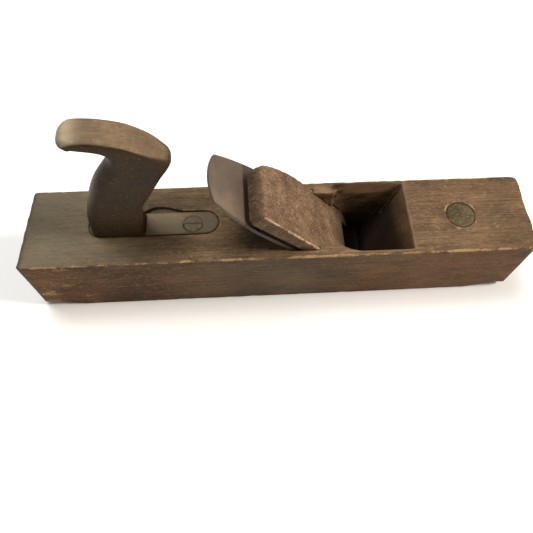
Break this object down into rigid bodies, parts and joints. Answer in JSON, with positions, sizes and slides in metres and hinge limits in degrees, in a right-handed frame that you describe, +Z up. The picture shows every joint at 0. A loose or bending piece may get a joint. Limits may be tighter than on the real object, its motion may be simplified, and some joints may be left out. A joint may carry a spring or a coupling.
{
  "type": "wooden bench plane",
  "caption": "Wooden bench plane: a block stock with an open handle and a wedged double iron bedded at 45 degrees, to flatten and smooth boards.",
  "frame": {"origin": "middle of the sole, on the surface it rests on", "axes": "+X towards the toe, +Z up from the sole, +Y across to the far cheek"},
  "size_m": [0.414, 0.071, 0.1814],
  "materials": {
    "stock_wood": "old oiled beech, darkened and worn",
    "tote_wood": "old beech polished by the hand",
    "wedge_wood": "rough dry beech, bruised edges",
    "button_wood": "end grain plug, dirty and struck",
    "iron_steel": "brown patina",
    "cap_steel": "dark patina",
    "screw_steel": "rusted dark",
    "nut_brass": "tarnished"
  },
  "bodies": {
    "body": {"stock": "stock_wood", "tote": "tote_wood", "tote_screw": "screw_steel", "strike_button": "button_wood"},
    "iron": {"cutting_iron": "iron_steel"},
    "cap": {"cap_iron": "cap_steel", "cap_iron_nut": "nut_brass"},
    "cap_screw": {"cap_iron_screw": "screw_steel"},
    "wedge": {"wedge": "wedge_wood"}
  },
  "joints": [
    {"name": "iron_slide", "type": "slide", "parent": "body", "child": "iron", "axis": [-0.7071, 0, 0.7071], "range_m": [-0.0015, 0.024]},
    {"name": "cap_slide", "type": "slide", "parent": "iron", "child": "cap", "axis": [-0.7071, 0, 0.7071], "range_m": [0, 0.025]},
    {"name": "cap_screw_turn", "type": "hinge", "parent": "cap", "child": "cap_screw", "pos_m": [0.00783, 0, 0.06717], "axis": [0.7071, 0, 0.7071], "continuous": true},
    {"name": "wedge_slide", "type": "slide", "parent": "cap", "child": "wedge", "axis": [-0.7071, 0, 0.7071], "range_m": [0, 0.08]}
  ]
}
